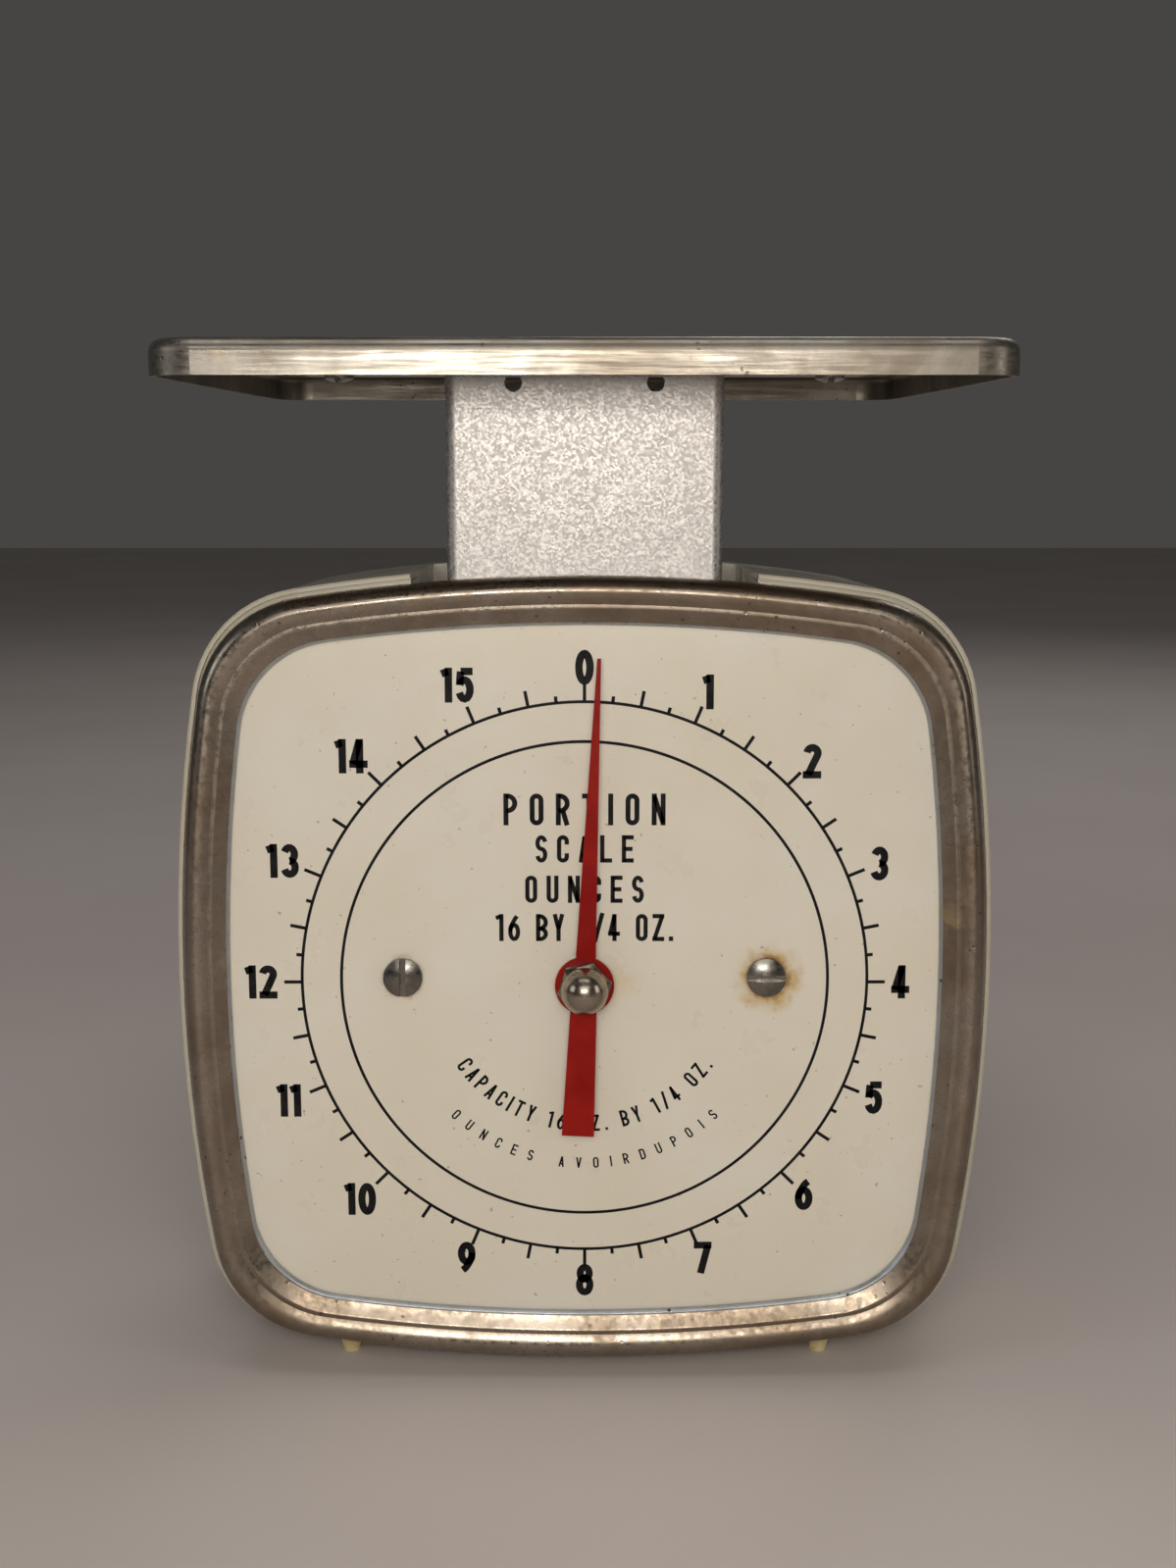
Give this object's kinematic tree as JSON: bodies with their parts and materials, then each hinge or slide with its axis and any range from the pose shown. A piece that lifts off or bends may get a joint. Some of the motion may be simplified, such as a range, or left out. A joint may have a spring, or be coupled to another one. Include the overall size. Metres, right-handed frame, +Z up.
{
  "type": "dial portion scale",
  "caption": "Spring portion scale with a square platform on a post, a square-fronted case with a bright bezel, and a round numbered dial with one pointer.",
  "frame": {"origin": "on the ground under the middle of the platform, centred between the feet left to right", "axes": "+Z up, +Y to the rear, the dial faces -Y, +X to the right seen from the front"},
  "size_m": [0.1358, 0.1282, 0.1727],
  "materials": {
    "case_enamel": "gloss enamel, cream",
    "stainless": "worn satin",
    "dial_enamel": "printed enamel, cream",
    "zinc_plate": "bright zinc with a speckled spangle",
    "nickel": "nickel plate",
    "steel": "plain bright steel",
    "spring_steel": "oiled",
    "brass": "turned",
    "pointer_red": "red enamel",
    "foot_plastic": "yellowed cream",
    "bumper_rubber": "black"
  },
  "bodies": {
    "scale_body": {"case_band": "case_enamel", "rear_cover": "case_enamel", "cover_screws": "steel", "front_bezel": "stainless", "dial_plate": "dial_enamel", "dial_screws": "nickel", "dial_standoffs": "steel", "front_feet": "foot_plastic", "rear_feet": "foot_plastic", "chassis": "zinc_plate", "chassis_screws": "steel", "chassis_spacers": "steel", "upper_pivot_rod": "steel", "lower_pivot_rod": "steel", "pivot_clips": "steel", "front_bush": "brass", "rear_bush": "brass", "bearing_bridge": "zinc_plate", "bearing_screws": "steel", "spring_bridge": "zinc_plate", "bridge_screws": "steel", "stop_bumper": "bumper_rubber", "main_spring": "spring_steel"},
    "zero_knob": {"zero_knob": "brass"},
    "hook_bolt": {"zero_hook_bolt": "steel"},
    "upper_lever": {"upper_lever": "zinc_plate"},
    "lower_lever": {"lower_lever": "zinc_plate"},
    "carriage": {"yoke": "zinc_plate", "yoke_studs": "steel", "yoke_rivets": "steel", "spring_anchor": "steel", "rack": "brass", "rack_rivet": "steel", "post": "zinc_plate", "spider_rivets": "steel", "platform_spider": "zinc_plate", "spider_screws": "steel", "platform": "stainless"},
    "pointer": {"spindle_pinion": "brass", "spindle_clip": "steel", "pointer": "pointer_red", "acorn_nut": "nickel"}
  },
  "joints": [
    {"name": "load_sink", "type": "hinge", "parent": "scale_body", "child": "upper_lever", "pos_m": [0, -0.019, 0.1074], "axis": [-1, 0, 0], "range_deg": [0, 18.07], "stiffness_Nm_per_rad": 0.565, "springref_deg": -14.9, "deforming": ["main_spring"]},
    {"name": "carriage_pivot", "type": "hinge", "parent": "upper_lever", "child": "carriage", "pos_m": [0, 0.0205, 0.11368], "axis": [-1, 0, 0], "range_deg": [-18.08, 0]},
    {"name": "lower_lever_hinge", "type": "hinge", "parent": "scale_body", "child": "lower_lever", "pos_m": [0, -0.019, 0.0384], "axis": [-1, 0, 0], "range_deg": [0, 18.08]},
    {"name": "pointer_spin", "type": "hinge", "parent": "scale_body", "child": "pointer", "pos_m": [0, -0.034, 0.0695], "axis": [0, 1, 0], "range_deg": [0, 360.5]},
    {"name": "zero_knob_turn", "type": "hinge", "parent": "scale_body", "child": "zero_knob", "pos_m": [0, 0.006, 0.13], "axis": [0, 0, 1], "range_deg": [-365, 365]},
    {"name": "hook_bolt_rise", "type": "slide", "parent": "scale_body", "child": "hook_bolt", "axis": [0, 0, 1], "range_m": [-0.00069, 0.00069]}
  ],
  "couplings": [
    {"joint": "carriage_pivot", "follows": "load_sink", "ratio": -1},
    {"joint": "lower_lever_hinge", "follows": "load_sink", "ratio": 1},
    {"joint": "pointer_spin", "follows": "load_sink", "ratio": 19.917},
    {"joint": "zero_knob_turn", "follows": "hook_bolt_rise", "rad_per_m": -9090}
  ]
}
